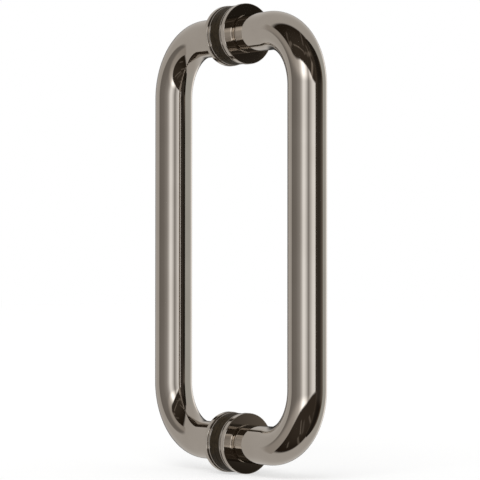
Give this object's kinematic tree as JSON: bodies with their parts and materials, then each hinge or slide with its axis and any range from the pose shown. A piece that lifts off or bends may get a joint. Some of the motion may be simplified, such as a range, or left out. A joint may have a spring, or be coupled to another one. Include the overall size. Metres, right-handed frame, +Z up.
{
  "type": "back-to-back pull handle",
  "caption": "Back-to-back pull handle for a glass door: bent polished nickel tubes on both sides, clamped through the glass on metal washers and black gaskets.",
  "frame": {"origin": "on the middle plane between the two handles, halfway between the two fixings", "axes": "+X through the glass towards the front handle, +Y along the glass, +Z up along the bars"},
  "size_m": [0.129, 0.0302, 0.2334],
  "materials": {
    "polished_nickel": "polished",
    "black_rubber": "semi-gloss",
    "brass": "turned",
    "steel": "machined",
    "nylon": "matte"
  },
  "bodies": {
    "root": {"front_handle": "polished_nickel", "rear_handle": "polished_nickel", "upper_front_washer": "polished_nickel", "upper_rear_washer": "polished_nickel", "upper_front_gasket": "black_rubber", "upper_rear_gasket": "black_rubber", "upper_front_insert": "brass", "upper_rear_insert": "brass", "upper_stud": "steel", "upper_sleeve": "nylon", "upper_set_screw": "steel", "lower_front_washer": "polished_nickel", "lower_rear_washer": "polished_nickel", "lower_front_gasket": "black_rubber", "lower_rear_gasket": "black_rubber", "lower_front_insert": "brass", "lower_rear_insert": "brass", "lower_stud": "steel", "lower_sleeve": "nylon", "lower_set_screw": "steel"}
  },
  "joints": []
}
